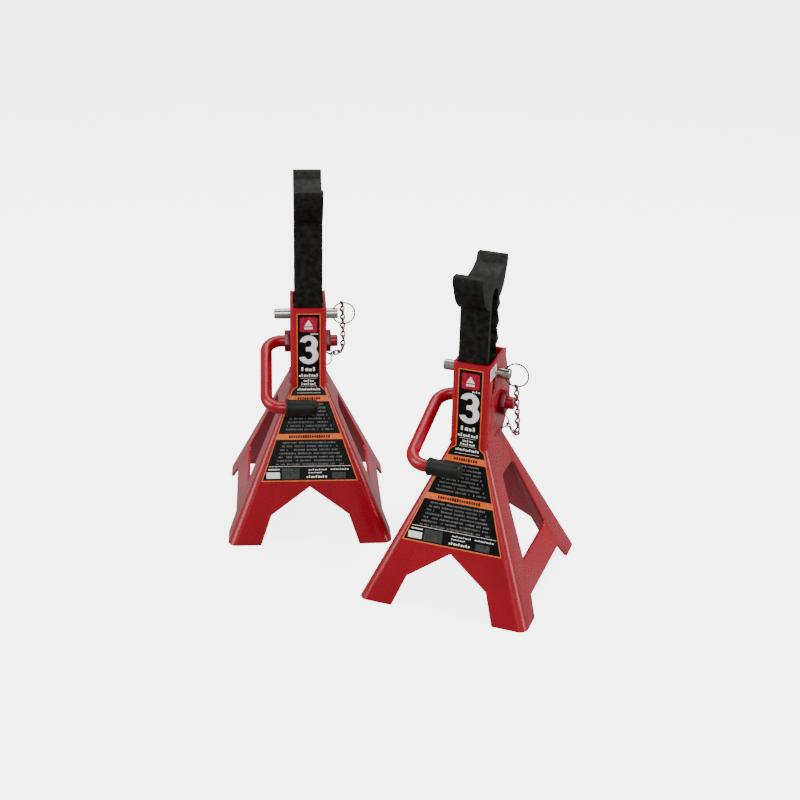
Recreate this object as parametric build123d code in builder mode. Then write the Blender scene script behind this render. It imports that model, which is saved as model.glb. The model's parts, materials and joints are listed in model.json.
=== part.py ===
from build123d import *
import os
from math import cos, radians, sin

# A pair of ratchet axle stands. Millimetres, +Z up, the floor at z = 0.
# Each stand is drawn in its own frame: origin on the floor under the centre of its feet,
# +X to the stand's right as one faces its label, +Y to its back. It is then put in its place.

# pressed steel base
sheet = 3.0
base_half_x = 92.5
base_half_y = 102.5
foot_corner = 10.0
bend_z = 164.0
column_half_x = 20.0
column_front = -31.0
column_rear = 27.0
column_top = 257.0
column_corner = 4.5
sloped_sheet = 3.3

# legs, arches and side windows
arch_apex_z = 60.0
arch_knee_x = 43.5
arch_knee_z = 31.0
arch_foot_x = 55.3
side_cut_z = 19.0
side_cut_y = 55.5
side_foot_y = 68.0
window_low_z = 49.0
window_high_z = 131.0
window_low_y = (-43.0, 45.0)
window_high_y = (-15.0, 23.5)
slot_y = -15.0
slot_z = 235.5
slot_length = 29.0
slot_width = 9.0

# guides for the post inside the base
strip_z = 234.0
strip_width = 13.0
strip_height = 42.0
strip_thickness = 0.9
guide_z = 154.0
guide_middle_y = -1.8
guide_width = 39.6
guide_depth = 57.6
guide_thickness = 2.5
guide_gap = 0.6

# ratchet post
pitch = 19.5
lowest_top = 300.0
left_notch = 5
right_notch = 3
post_half_x = 15.5
post_front = -27.5
tooth_root = 2.7
tooth_tip = 10.7
tooth_rise = 4.0
first_root = 51.2
tooth_count = 9
post_length = 275.0
web_half_x = 4.0
groove_front = -20.5
groove_rear = -1.0
groove_top = 24.0
first_pin_hole = 60.0
notch_count = 7
stop_drop = 267.0
stop_y = -10.0
stop_radius = 3.0
stop_half_length = 19.0
horn_front = -57.5
horn_rear = 32.0

# release handle, its shaft and the pawl
pivot_y = 18.2
pivot_z = 199.0
bar_radius = 6.7
running_gap = 0.05
shaft_right_end = 34.5
arm_x = -47.5
arm_length = 107.2
arm_drop = 20.8
bend_radius = 18.0
grip_radius = 9.5
grip_start_x = -26.0
grip_end_x = 9.0
pawl_half_x = 7.0
pawl_pin_radius = 2.0
pawl_outline = [
    (3.7, 228.9),
    (11.5, 232.8),
    (20.0, 229.5),
    (26.0, 216.0),
    (28.4, 205.0),
    (28.4, 195.0),
    (24.5, 189.6),
    (18.0, 188.9),
    (14.8, 192.0),
    (12.6, 207.0),
    (11.4, 214.0),
]
boss_corner_radius = 12.7
boss_depth = 6.5
bead_z = 167.0
bead_radius = 1.8
bead_half_length = 7.0

# locking pin, its ring and chain
pin_y = -1.0
pin_z = 240.0
pin_radius = 5.75
pin_slide_gap = 0.1
pin_hole_gap = 0.25
pin_left_end = -38.0
pin_right_end = 33.5
ring_x = 40.0
ring_radius = 12.6
ring_wire = 0.9
ring_hole_radius = 1.8
anchor_y = 22.0
anchor_z = 175.0
anchor_radius = 8.0
anchor_wire = 0.8
anchor_hole_radius = 1.6
link_length = 11.4
link_width = 7.0
link_wire = 1.7

# labels
label_thickness = 0.2
label_half_x = 13.7
label_top_z = 252.0
label_foot_half_x = 55.0
label_foot_z = 65.4
side_label_y = -19.0
side_label_z = 246.75
side_label_width = 21.0
side_label_height = 12.5

# where the two stands stand: the right one is ahead of the left one and turned
right_from_left_x = 174.0
right_from_left_y = -162.0
right_turn = -24.5

turn_cos = cos(radians(right_turn))
turn_sin = abs(sin(radians(right_turn)))
straight_x = base_half_x - foot_corner
straight_y = base_half_y - foot_corner
turned_half_x = straight_x * turn_cos + straight_y * turn_sin + foot_corner
turned_half_y = straight_x * turn_sin + straight_y * turn_cos + foot_corner
left_x = -(right_from_left_x + turned_half_x - base_half_x) / 2
left_y = -(right_from_left_y - turned_half_y + base_half_y) / 2
left_place = Location((left_x, left_y, 0))
right_place = Location((left_x + right_from_left_x, left_y + right_from_left_y, 0), (0, 0, right_turn))

# side view of the pawl housing behind the column, from the rim down, as (y, z)
cover_foot_z = 160.0
housing_line = [
    (column_rear, column_top),
    (27.5, 248.0),
    (50.8, 208.0),
    (50.8, 186.0),
    (29.0, cover_foot_z),
]
housing_bend = 12.0


def front_wall_y(z):
    return column_front - (base_half_y + column_front) * (bend_z - z) / bend_z


def body_block(inset, floor_inset):
    """The outer shape of the pressed base, drawn in by inset on the column."""
    corner = max(column_corner - inset, 1.0)
    depth = column_rear - column_front - 2 * inset
    middle = (column_front + column_rear) / 2
    with BuildPart() as block:
        with BuildSketch(Plane.XY):
            width = 2 * (base_half_x - floor_inset)
            RectangleRounded(width, 2 * (base_half_y - floor_inset), foot_corner - floor_inset)
        with BuildSketch(Plane.XY.offset(bend_z)):
            with Locations((0, middle)):
                RectangleRounded(2 * (column_half_x - inset), depth, corner)
        loft(ruled=True)
        with BuildSketch(Plane.XY.offset(bend_z)):
            with Locations((0, middle)):
                RectangleRounded(2 * (column_half_x - inset), depth, corner)
        extrude(amount=column_top - bend_z)
    return block.part


def make_base_frame():
    outer = body_block(0, 0)
    inner = body_block(sheet, sloped_sheet)
    with BuildPart() as frame:
        add(outer)
        # side walls run back beside the pawl housing
        with BuildSketch(Plane.YZ):
            with BuildLine():
                FilletPolyline(*housing_line, radius=housing_bend)
                Polyline(housing_line[-1], (0, cover_foot_z), (0, column_top), housing_line[0])
            make_face()
        extrude(amount=column_half_x, both=True)
        add(inner, mode=Mode.SUBTRACT)
        # the housing is open between the side walls: the rear cover closes it
        with BuildSketch(Plane.YZ):
            with Locations((8, cover_foot_z)):
                Rectangle(80, column_top, align=(Align.MIN, Align.MIN))
        extrude(amount=column_half_x - sheet, both=True, mode=Mode.SUBTRACT)
        # arches between the feet, front and rear
        with BuildSketch(Plane.XZ) as arch:
            Polygon(
                (-arch_foot_x, 0),
                (-arch_knee_x, arch_knee_z),
                (0, arch_apex_z),
                (arch_knee_x, arch_knee_z),
                (arch_foot_x, 0),
                align=None,
            )
            fillet(arch.vertices().filter_by(lambda corner: corner.Z > 1), radius=6)
        extrude(amount=2 * base_half_y, both=True, mode=Mode.SUBTRACT)
        # lower edge between the feet at the sides
        with BuildSketch(Plane.YZ) as side_cut:
            Polygon(
                (-side_foot_y, 0),
                (-side_cut_y, side_cut_z),
                (side_cut_y, side_cut_z),
                (side_foot_y, 0),
                align=None,
            )
            fillet(side_cut.vertices().filter_by(lambda corner: corner.Z > 1), radius=5)
        extrude(amount=2 * base_half_x, both=True, mode=Mode.SUBTRACT)
        # rounded window in each side face
        with BuildSketch(Plane.YZ) as window:
            Polygon(
                (window_low_y[0], window_low_z),
                (window_low_y[1], window_low_z),
                (window_high_y[1], window_high_z),
                (window_high_y[0], window_high_z),
                align=None,
            )
            fillet(window.vertices().filter_by(lambda corner: corner.Z > 100), radius=14)
            fillet(window.vertices().filter_by(lambda corner: corner.Z < 60).sort_by(Axis.Y)[0], radius=5)
            fillet(window.vertices().sort_by(Axis.Y)[-2:], radius=7)
        extrude(amount=2 * base_half_x, both=True, mode=Mode.SUBTRACT)
        # slots beside the post
        with BuildSketch(Plane.YZ):
            with Locations((slot_y, slot_z)):
                SlotOverall(slot_length, slot_width, rotation=90)
        extrude(amount=2 * column_half_x, both=True, mode=Mode.SUBTRACT)
        # holes for the handle shaft and for the locking pin
        with BuildSketch(Plane.YZ):
            with Locations((pivot_y, pivot_z)):
                Circle(bar_radius + running_gap)
            with Locations((pin_y, pin_z)):
                Circle(pin_radius + pin_slide_gap)
        extrude(amount=2 * column_half_x, both=True, mode=Mode.SUBTRACT)
        # two holes in the right wall for the chain's anchor ring
        with BuildSketch(Plane.YZ):
            with Locations((anchor_y, anchor_z - anchor_radius), (anchor_y, anchor_z + anchor_radius)):
                Circle(anchor_hole_radius)
        extrude(amount=2 * column_half_x, mode=Mode.SUBTRACT)
    return frame.part


def make_rear_cover():
    with BuildPart() as cover:
        with BuildSketch(Plane.YZ.offset(-(column_half_x - sheet))):
            with BuildLine():
                FilletPolyline(*housing_line, radius=housing_bend)
                offset(amount=sheet, side=Side.RIGHT)
            make_face()
        extrude(amount=2 * (column_half_x - sheet))
    return cover.part


def make_guide_strips():
    """Thin steel strips inside the side walls that keep the post upright."""
    with BuildPart() as strips:
        with BuildSketch(Plane.YZ.offset(column_half_x - sheet)):
            with Locations((slot_y, strip_z)):
                Rectangle(strip_width, strip_height)
        extrude(amount=-strip_thickness)
        mirror(about=Plane.YZ)
    return strips.part


def make_lower_guide():
    """Collar plate welded inside the top of the legs, around the post."""
    with BuildPart() as guide:
        with BuildSketch(Plane.XY.offset(guide_z)):
            with Locations((0, guide_middle_y)):
                RectangleRounded(guide_width, guide_depth, 2)
            with Locations((0, (post_front + tooth_tip) / 2)):
                width = 2 * (post_half_x + guide_gap)
                Rectangle(width, tooth_tip - post_front + 2 * guide_gap, mode=Mode.SUBTRACT)
        extrude(amount=guide_thickness)
    return guide.part


def make_pivot_bosses():
    """Hexagonal bosses welded on both side walls, where the handle shaft turns."""
    with BuildPart() as bosses:
        with BuildSketch(Plane.YZ.offset(column_half_x)):
            with Locations((pivot_y, pivot_z)):
                RegularPolygon(boss_corner_radius, 6)
                Circle(bar_radius + running_gap, mode=Mode.SUBTRACT)
        extrude(amount=boss_depth)
        mirror(about=Plane.YZ)
    return bosses.part


def make_weld_beads():
    """Short weld beads on the side walls at the foot of the column."""
    with BuildPart() as beads:
        for bead_y in (-20.0, 8.0):
            with BuildSketch(Plane.XZ.offset(-bead_y)):
                with BuildLine():
                    CenterArc((column_half_x, bead_z), bead_radius, -90, 180)
                    Line((column_half_x, bead_z - bead_radius), (column_half_x, bead_z + bead_radius))
                make_face()
            extrude(amount=bead_half_length, both=True)
        mirror(about=Plane.YZ)
    return beads.part


def make_ratchet_post(top):
    """I-section post with saw teeth behind, cast in one piece with its saddle."""
    foot = top - post_length
    with BuildPart() as post:
        with BuildSketch(Plane.YZ):
            with BuildLine():
                Polyline(
                    (post_front, foot),
                    (post_front, top - 42),
                    (-31.5, top - 41),
                    (-38.0, top - 37.5),
                    (-47.0, top - 29),
                    (-53.5, top - 17),
                    (horn_front - 0.8, top - 7),
                    (horn_front, top),
                    (horn_front + 9.5, top),
                    (horn_front + 12, top - 3.5),
                )
                ThreePointArc((horn_front + 12, top - 3.5), (-12, top - 15), (20, top - 7))
                Polyline(
                    (20, top - 7),
                    (22, top - 1.5),
                    (23.5, top),
                    (horn_rear - 1, top),
                    (horn_rear, top - 6),
                    (27.0, top - 17),
                    (20.0, top - 30),
                    (12.0, top - 36.5),
                    (tooth_root + 4, top - 39),
                    *rear_teeth(top),
                    (tooth_root, foot),
                    (post_front, foot),
                )
            make_face()
        extrude(amount=post_half_x, both=True)
        # the grooves that leave a web between the front and the rear flange
        for outward in (1, -1):
            with BuildSketch(Plane.YZ.offset(outward * web_half_x)):
                with Locations(((groove_front + groove_rear) / 2, foot - 20)):
                    width = groove_rear - groove_front
                    Rectangle(width, top - groove_top - width / 2 - foot + 20, align=(Align.CENTER, Align.MIN))
                with Locations(((groove_front + groove_rear) / 2, top - groove_top - width / 2)):
                    Circle(width / 2)
            extrude(amount=outward * post_half_x, mode=Mode.SUBTRACT)
        # one hole for the locking pin at each height
        with BuildSketch(Plane.YZ):
            for notch in range(notch_count):
                with Locations((pin_y, top - first_pin_hole - notch * pitch)):
                    Circle(pin_radius + pin_hole_gap)
            with Locations((stop_y, top - stop_drop)):
                Circle(stop_radius)
        extrude(amount=2 * post_half_x, both=True, mode=Mode.SUBTRACT)
    return post.part


def rear_teeth(top):
    """Corners (y, z) of the saw teeth: each slopes out going down, then turns under."""
    corners = []
    for tooth in range(tooth_count):
        root_z = top - first_root - tooth * pitch
        corners.append((tooth_tip, root_z + tooth_rise))
        corners.append((tooth_root, root_z))
    return corners


def make_post_stop(top):
    """Cross pin at the foot of the post: it meets the lower guide when fully raised."""
    with BuildPart() as stop:
        with BuildSketch(Plane.YZ):
            with Locations((stop_y, top - stop_drop)):
                Circle(stop_radius)
                Circle(stop_radius - 1, mode=Mode.SUBTRACT)
        extrude(amount=stop_half_length, both=True)
    return stop.part


drop = radians(arm_drop)
handle_plane = Plane(origin=(0, pivot_y, pivot_z), x_dir=(1, 0, 0), z_dir=(0, -sin(drop), cos(drop)))


def make_handle():
    """Bent round bar: the shaft through the column, the arm, and the bar under the grip."""
    with BuildPart() as handle:
        with BuildLine(handle_plane):
            FilletPolyline(
                (shaft_right_end, 0),
                (arm_x, 0),
                (arm_x, -arm_length),
                (grip_end_x - 4, -arm_length),
                radius=bend_radius,
            )
        with BuildSketch(Plane(origin=(shaft_right_end, pivot_y, pivot_z), z_dir=(-1, 0, 0))):
            Circle(bar_radius)
        sweep()
        chamfer(handle.faces().sort_by(Axis.X)[-1].edges(), length=0.8)
        with BuildSketch(Plane.XZ.offset(-pivot_y)):
            with Locations((0, pivot_z)):
                Circle(pawl_pin_radius)
        extrude(amount=2 * bar_radius, both=True, mode=Mode.SUBTRACT)
    return handle.part


def make_handle_grip():
    """Rubber sleeve with a closed end, pushed on the lower bar."""
    start = handle_plane.from_local_coords((grip_start_x, -arm_length, 0))
    with BuildPart() as grip:
        with BuildSketch(Plane(origin=start, z_dir=(1, 0, 0))):
            Circle(grip_radius)
        extrude(amount=grip_end_x - grip_start_x)
        fillet(grip.edges().sort_by(Axis.X)[-1], radius=2.5)
        fillet(grip.edges().sort_by(Axis.X)[0], radius=1.5)
        with BuildSketch(Plane(origin=start, z_dir=(1, 0, 0))):
            Circle(bar_radius)
        extrude(amount=grip_end_x - 4 - grip_start_x, mode=Mode.SUBTRACT)
    return grip.part


def make_pawl():
    """Hooked pawl pinned on the handle shaft: its nose bears under a tooth of the post."""
    with BuildPart() as pawl:
        with BuildSketch(Plane.YZ):
            Polygon(*pawl_outline, align=None)
            with Locations((pivot_y, pivot_z)):
                Circle(bar_radius + 0.02, mode=Mode.SUBTRACT)
        extrude(amount=pawl_half_x, both=True)
        with BuildSketch(Plane.XZ.offset(-pivot_y)):
            with Locations((0, pivot_z)):
                Circle(pawl_pin_radius)
        extrude(amount=-20, mode=Mode.SUBTRACT)
    return pawl.part


def make_pawl_pin():
    """Spring pin that holds the pawl on the shaft."""
    with BuildPart() as pin:
        with BuildSketch(Plane.XZ.offset(-(pivot_y - bar_radius + 0.5))):
            with Locations((0, pivot_z)):
                Circle(pawl_pin_radius)
                Circle(pawl_pin_radius - 0.8, mode=Mode.SUBTRACT)
        extrude(amount=-16)
    return pin.part


def make_locking_pin():
    with BuildPart() as pin:
        with BuildSketch(Plane.YZ.offset(pin_left_end)):
            with Locations((pin_y, pin_z)):
                Circle(pin_radius)
        extrude(amount=pin_right_end - pin_left_end)
        chamfer(pin.edges().filter_by(GeomType.CIRCLE), length=0.7)
        with BuildSketch(Plane.XY):
            with Locations((ring_x - ring_radius + 0.7, pin_y)):
                Circle(ring_hole_radius)
        extrude(amount=2 * pin_z, mode=Mode.SUBTRACT)
    return pin.part


def make_pin_ring():
    with BuildPart() as ring:
        with BuildSketch(Plane.XY.offset(pin_z)):
            with Locations((ring_x + ring_radius, pin_y)):
                Circle(ring_wire)
        revolve(axis=Axis((ring_x, pin_y, pin_z), (0, 1, 0)))
    return ring.part


def make_chain_anchor():
    """Wire ring through two holes in the right wall."""
    with BuildPart() as ring:
        with BuildSketch(Plane.XY.offset(anchor_z)):
            with Locations((column_half_x + anchor_radius, anchor_y)):
                Circle(anchor_wire)
        revolve(axis=Axis((column_half_x, anchor_y, anchor_z), (0, 1, 0)))
    return ring.part


def make_chain(route):
    """Flat links, each turned a quarter against the last, along a route of straight runs."""
    runs = [(Vector(*end) - Vector(*start)).length for start, end in zip(route, route[1:])]
    step = sum(runs) / (chain_links - 1)
    with BuildPart() as chain:
        for link in range(chain_links):
            along = link * step
            run = 0
            while run < len(runs) - 1 and along > runs[run]:
                along -= runs[run]
                run += 1
            start = Vector(*route[run])
            heading = (Vector(*route[run + 1]) - start).normalized()
            across = heading.cross(Vector(1, 0, 0)).normalized()
            face = Vector(1, 0, 0) if link % 2 == 0 else across
            face = (face - heading * face.dot(heading)).normalized()
            middle = start + heading * along - face * (link_wire / 2)
            with BuildSketch(Plane(origin=middle, x_dir=heading, z_dir=face)):
                SlotOverall(link_length, link_width)
                SlotOverall(link_length - 2 * link_wire, link_width - 2 * link_wire, mode=Mode.SUBTRACT)
            extrude(amount=link_wire)
    return chain.part


def make_front_label():
    """Printed label down the column and over the upper part of the front face."""
    slope_run = front_wall_y(0) - front_wall_y(bend_z)
    slope = Vector(0, slope_run, -bend_z).normalized()
    face = Plane(origin=(0, column_front, bend_z), x_dir=(1, 0, 0), z_dir=(0, slope.Z, -slope.Y))
    shoulder = 5.0
    reach = (bend_z - label_foot_z) / abs(slope.Z)
    with BuildPart() as label:
        with BuildSketch(Plane.XZ.offset(-column_front)):
            with Locations((0, bend_z)):
                Rectangle(2 * label_half_x, label_top_z - bend_z, align=(Align.CENTER, Align.MIN))
        extrude(amount=label_thickness)
        with BuildSketch(face):
            Polygon(
                (-label_half_x, 0),
                (-label_half_x - 6, -shoulder),
                (-label_foot_half_x, -reach),
                (label_foot_half_x, -reach),
                (label_half_x + 6, -shoulder),
                (label_half_x, 0),
                align=None,
            )
        extrude(amount=label_thickness)
    return label.part


def make_side_label():
    with BuildPart() as label:
        with BuildSketch(Plane.YZ.offset(column_half_x)):
            with Locations((side_label_y, side_label_z)):
                Rectangle(side_label_width, side_label_height)
        extrude(amount=label_thickness)
    return label.part


def keep(piece, name, place):
    """Put a finished piece of a stand in its place, name it and write it out."""
    placed = piece.moved(place)
    placed.label = name
    export_step(placed, f"parts/{name}.step")


def build_stand(side, place, notch, chain_route):
    top = lowest_top + notch * pitch
    keep(make_base_frame(), f"{side}_base_frame", place)
    keep(make_rear_cover(), f"{side}_rear_cover", place)
    keep(make_guide_strips(), f"{side}_guide_strips", place)
    keep(make_lower_guide(), f"{side}_lower_guide", place)
    keep(make_pivot_bosses(), f"{side}_pivot_bosses", place)
    keep(make_weld_beads(), f"{side}_weld_beads", place)
    keep(make_ratchet_post(top), f"{side}_ratchet_post", place)
    keep(make_post_stop(top), f"{side}_post_stop", place)
    keep(make_handle(), f"{side}_handle", place)
    keep(make_handle_grip(), f"{side}_handle_grip", place)
    keep(make_pawl(), f"{side}_pawl", place)
    keep(make_pawl_pin(), f"{side}_pawl_pin", place)
    keep(make_locking_pin(), f"{side}_locking_pin", place)
    keep(make_pin_ring(), f"{side}_pin_ring", place)
    keep(make_chain_anchor(), f"{side}_chain_anchor", place)
    keep(make_chain(chain_route), f"{side}_chain", place)
    keep(make_front_label(), f"{side}_front_label", place)
    keep(make_side_label(), f"{side}_side_label", place)


# each chain hangs from its ring to the anchor ring; the right one has its slack at the bottom
left_chain = [(38.0, 0.0, 250.2), (39.2, 8.0, 226.0), (39.2, 16.0, 190.0), (27.7, 21.3, 182.0)]
right_chain = [(40.0, -0.1, 225.2), (39.6, 15.0, 178.0), (37.0, 21.0, 163.0), (29.3, 22.0, 170.0)]
chain_links = 13


os.makedirs("parts", exist_ok=True)
build_stand("left", left_place, left_notch, left_chain)
build_stand("right", right_place, right_notch, right_chain)
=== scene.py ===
import bpy
import bmesh
import json
from math import atan2, cos, pi, radians, sin
from mathutils import Matrix, Vector


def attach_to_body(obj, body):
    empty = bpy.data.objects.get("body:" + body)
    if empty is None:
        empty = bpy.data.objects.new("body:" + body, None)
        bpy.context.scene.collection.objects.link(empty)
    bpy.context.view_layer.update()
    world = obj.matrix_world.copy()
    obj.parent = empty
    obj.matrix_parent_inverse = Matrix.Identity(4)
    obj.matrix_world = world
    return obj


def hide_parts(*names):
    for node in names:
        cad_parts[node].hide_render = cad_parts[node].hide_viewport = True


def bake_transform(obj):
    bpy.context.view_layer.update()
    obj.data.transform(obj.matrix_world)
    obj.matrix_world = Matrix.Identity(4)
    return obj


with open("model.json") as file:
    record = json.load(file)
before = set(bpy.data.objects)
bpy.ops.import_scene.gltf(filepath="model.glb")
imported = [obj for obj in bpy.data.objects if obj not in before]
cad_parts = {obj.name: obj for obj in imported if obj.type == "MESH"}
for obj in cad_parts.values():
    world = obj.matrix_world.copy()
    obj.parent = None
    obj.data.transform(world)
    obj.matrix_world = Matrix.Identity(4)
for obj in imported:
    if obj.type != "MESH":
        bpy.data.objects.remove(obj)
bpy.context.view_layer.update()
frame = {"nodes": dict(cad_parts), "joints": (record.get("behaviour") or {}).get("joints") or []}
nodes = frame["nodes"]
print("stage: frame loaded")

mm = 0.001
sides = ("left", "right")


# where each stand is
stand = {"pivotY": 18.2 * mm, "pivotZ": 199 * mm}


def standPlace(side):
    # the handle's joint gives the stand's place and turn on the floor
    joint = next(j for j in frame["joints"] if j["name"] == f"{side}_handle_lift")
    turn = atan2(joint["axis"][1], joint["axis"][0])
    spin = Matrix.Rotation(turn, 4, "Z")
    origin = Vector(joint["pos_m"]) - spin @ Vector((0, stand["pivotY"], stand["pivotZ"]))
    return Matrix.Translation(origin) @ spin


places = {side: standPlace(side) for side in sides}


# small helpers
def settle(obj, body, slotName, *replaced):
    # hand a finished piece over to the frame
    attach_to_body(obj, body)
    if replaced:
        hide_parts(*replaced)
    return obj


def newPiece(name, mesh, material):
    obj = bpy.data.objects.new(name, mesh)
    bpy.context.scene.collection.objects.link(obj)
    mesh.materials.clear()
    mesh.materials.append(material)
    return obj


def bakeDown(obj):
    # turn an object with modifiers into a plain mesh
    bpy.context.view_layer.update()
    graph = bpy.context.evaluated_depsgraph_get()
    mesh = bpy.data.meshes.new_from_object(obj.evaluated_get(graph), depsgraph=graph)
    obj.modifiers.clear()
    if obj.type == "MESH":
        obj.data = mesh
        return obj
    plain = bpy.data.objects.new(obj.name + "Mesh", mesh)
    bpy.context.scene.collection.objects.link(plain)
    bpy.data.objects.remove(obj)
    return plain


def smoothByAngle(mesh, degrees):
    mesh.shade_smooth()
    mesh.set_sharp_from_angle(angle=radians(degrees))


# materials
def startMaterial(name):
    material = bpy.data.materials.new(name)
    material.use_nodes = True
    tree = material.node_tree
    return material, tree, tree.nodes["Principled BSDF"]


def addNoise(tree, scale, detail=4.0, stretch=(1, 1, 1), roughness=0.55):
    place = tree.nodes.new("ShaderNodeTexCoord")
    turn = tree.nodes.new("ShaderNodeMapping")
    turn.inputs["Scale"].default_value = stretch
    noise = tree.nodes.new("ShaderNodeTexNoise")
    noise.inputs["Scale"].default_value = scale
    noise.inputs["Detail"].default_value = detail
    noise.inputs["Roughness"].default_value = roughness
    tree.links.new(place.outputs["Object"], turn.inputs["Vector"])
    tree.links.new(turn.outputs["Vector"], noise.inputs["Vector"])
    return noise.outputs["Fac"]


def addRamp(tree, source, stops):
    ramp = tree.nodes.new("ShaderNodeValToRGB")
    elements = ramp.color_ramp.elements
    elements[0].position, elements[0].color = stops[0][0], (*stops[0][1], 1)
    elements[1].position, elements[1].color = stops[-1][0], (*stops[-1][1], 1)
    for position, colour in stops[1:-1]:
        elements.new(position).color = (*colour, 1)
    tree.links.new(source, ramp.inputs["Fac"])
    return ramp.outputs["Color"]


def addRange(tree, source, low, high):
    spread = tree.nodes.new("ShaderNodeMapRange")
    spread.inputs["To Min"].default_value = low
    spread.inputs["To Max"].default_value = high
    spread.inputs["From Min"].default_value = 0.3
    spread.inputs["From Max"].default_value = 0.7
    tree.links.new(source, spread.inputs["Value"])
    return spread.outputs["Result"]


def addBump(tree, shader, source, strength, distance, under=None):
    bump = tree.nodes.new("ShaderNodeBump")
    bump.inputs["Strength"].default_value = strength
    bump.inputs["Distance"].default_value = distance
    tree.links.new(source, bump.inputs["Height"])
    if under is not None:
        tree.links.new(under, bump.inputs["Normal"])
    tree.links.new(bump.outputs["Normal"], shader.inputs["Normal"])
    return bump.outputs["Normal"]


enamel = {
    "bright": (0.330, 0.0012, 0.0110),
    "deep": (0.255, 0.0008, 0.0080),
    "darkBright": (0.155, 0.0008, 0.0050),
    "darkDeep": (0.110, 0.0006, 0.0035),
    "peelScale": 420,
    "cloudScale": 18,
    "roughLow": 0.24,
    "roughHigh": 0.34,
    "coat": 0.12,
    "specular": 0.32,
}


def makeEnamel(name, bright, deep):
    # sprayed gloss enamel: faint clouds in the colour, orange peel in the surface
    material, tree, shader = startMaterial(name)
    clouds = addNoise(tree, enamel["cloudScale"], 5)
    specks = addNoise(tree, 900, 2)
    colour = addRamp(tree, clouds, [(0.3, deep), (0.7, bright)])
    tree.links.new(colour, shader.inputs["Base Color"])
    gloss = addRange(tree, specks, enamel["roughLow"], enamel["roughHigh"])
    tree.links.new(gloss, shader.inputs["Roughness"])
    waves = addBump(tree, shader, addNoise(tree, 60, 2), 0.12, 0.0012)
    addBump(tree, shader, addNoise(tree, enamel["peelScale"], 2), 0.10, 0.0003, waves)
    shader.inputs["Coat Weight"].default_value = enamel["coat"]
    shader.inputs["Coat Roughness"].default_value = 0.12
    shader.inputs["Specular IOR Level"].default_value = enamel["specular"]
    return material


casting = {
    "face": (0.0020, 0.0021, 0.0015),
    # high: the light greenish speckle colour, painted sheen from the light on the lit faces, spread over the
    # pits
    "high": (0.0170, 0.0170, 0.0115),
    "grainScale": 520,
    "pitScale": 170,
    "specular": 0.16,
}


def makeCasting():
    # sand-cast iron under thin black paint: gritty, with shallow pits whose uneven tone is real texture,
    # while the light greenish end of that tone is painted sheen standing in for light on the lit faces
    material, tree, shader = startMaterial("blackCasting")
    grain = addNoise(tree, casting["grainScale"], 6, roughness=0.7)
    pits = addNoise(tree, casting["pitScale"], 4)
    colour = addRamp(tree, pits, [(0.38, casting["face"]), (0.72, casting["high"])])
    tree.links.new(colour, shader.inputs["Base Color"])
    tree.links.new(addRange(tree, grain, 0.42, 0.62), shader.inputs["Roughness"])
    coarse = addBump(tree, shader, pits, 0.55, 0.0011)
    addBump(tree, shader, grain, 0.5, 0.0004, coarse)
    shader.inputs["Specular IOR Level"].default_value = casting["specular"]
    return material


def makeMetal(name, dull, bright, roughLow, roughHigh, stretch, scale):
    # drawn or plated wire and rod, with fine streaks
    material, tree, shader = startMaterial(name)
    streaks = addNoise(tree, scale, 4, stretch)
    colour = addRamp(tree, streaks, [(0.3, dull), (0.7, bright)])
    tree.links.new(colour, shader.inputs["Base Color"])
    tree.links.new(addRange(tree, streaks, roughLow, roughHigh), shader.inputs["Roughness"])
    addBump(tree, shader, streaks, 0.15, 0.0002)
    shader.inputs["Metallic"].default_value = 1.0
    return material


def makePrimer():
    material, tree, shader = startMaterial("darkPrimer")
    cloud = addNoise(tree, 90, 5)
    colour = addRamp(tree, cloud, [(0.3, (0.012, 0.010, 0.010)), (0.7, (0.034, 0.028, 0.026))])
    tree.links.new(colour, shader.inputs["Base Color"])
    tree.links.new(addRange(tree, cloud, 0.45, 0.65), shader.inputs["Roughness"])
    addBump(tree, shader, addNoise(tree, 500, 4), 0.3, 0.0003)
    shader.inputs["Metallic"].default_value = 0.4
    return material


def makeRubber():
    # dipped black rubber: matte, with a fine pebble and a greenish cast
    material, tree, shader = startMaterial("gripRubber")
    cloud = addNoise(tree, 70, 4)
    colour = addRamp(tree, cloud, [(0.3, (0.0030, 0.0042, 0.0030)), (0.7, (0.0085, 0.0105, 0.0080))])
    tree.links.new(colour, shader.inputs["Base Color"])
    tree.links.new(addRange(tree, cloud, 0.42, 0.58), shader.inputs["Roughness"])
    addBump(tree, shader, addNoise(tree, 700, 3), 0.25, 0.0003)
    shader.inputs["Specular IOR Level"].default_value = 0.24
    return material


def makeInk(name, low, high, roughness, specular=0.2):
    # printed vinyl, very slightly mottled
    material, tree, shader = startMaterial(name)
    mottle = addNoise(tree, 260, 3)
    tree.links.new(addRamp(tree, mottle, [(0.35, low), (0.65, high)]), shader.inputs["Base Color"])
    tree.links.new(addRange(tree, mottle, roughness - 0.05, roughness + 0.05), shader.inputs["Roughness"])
    addBump(tree, shader, addNoise(tree, 1200, 2), 0.05, 0.0001)
    shader.inputs["Specular IOR Level"].default_value = specular
    return material


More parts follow.
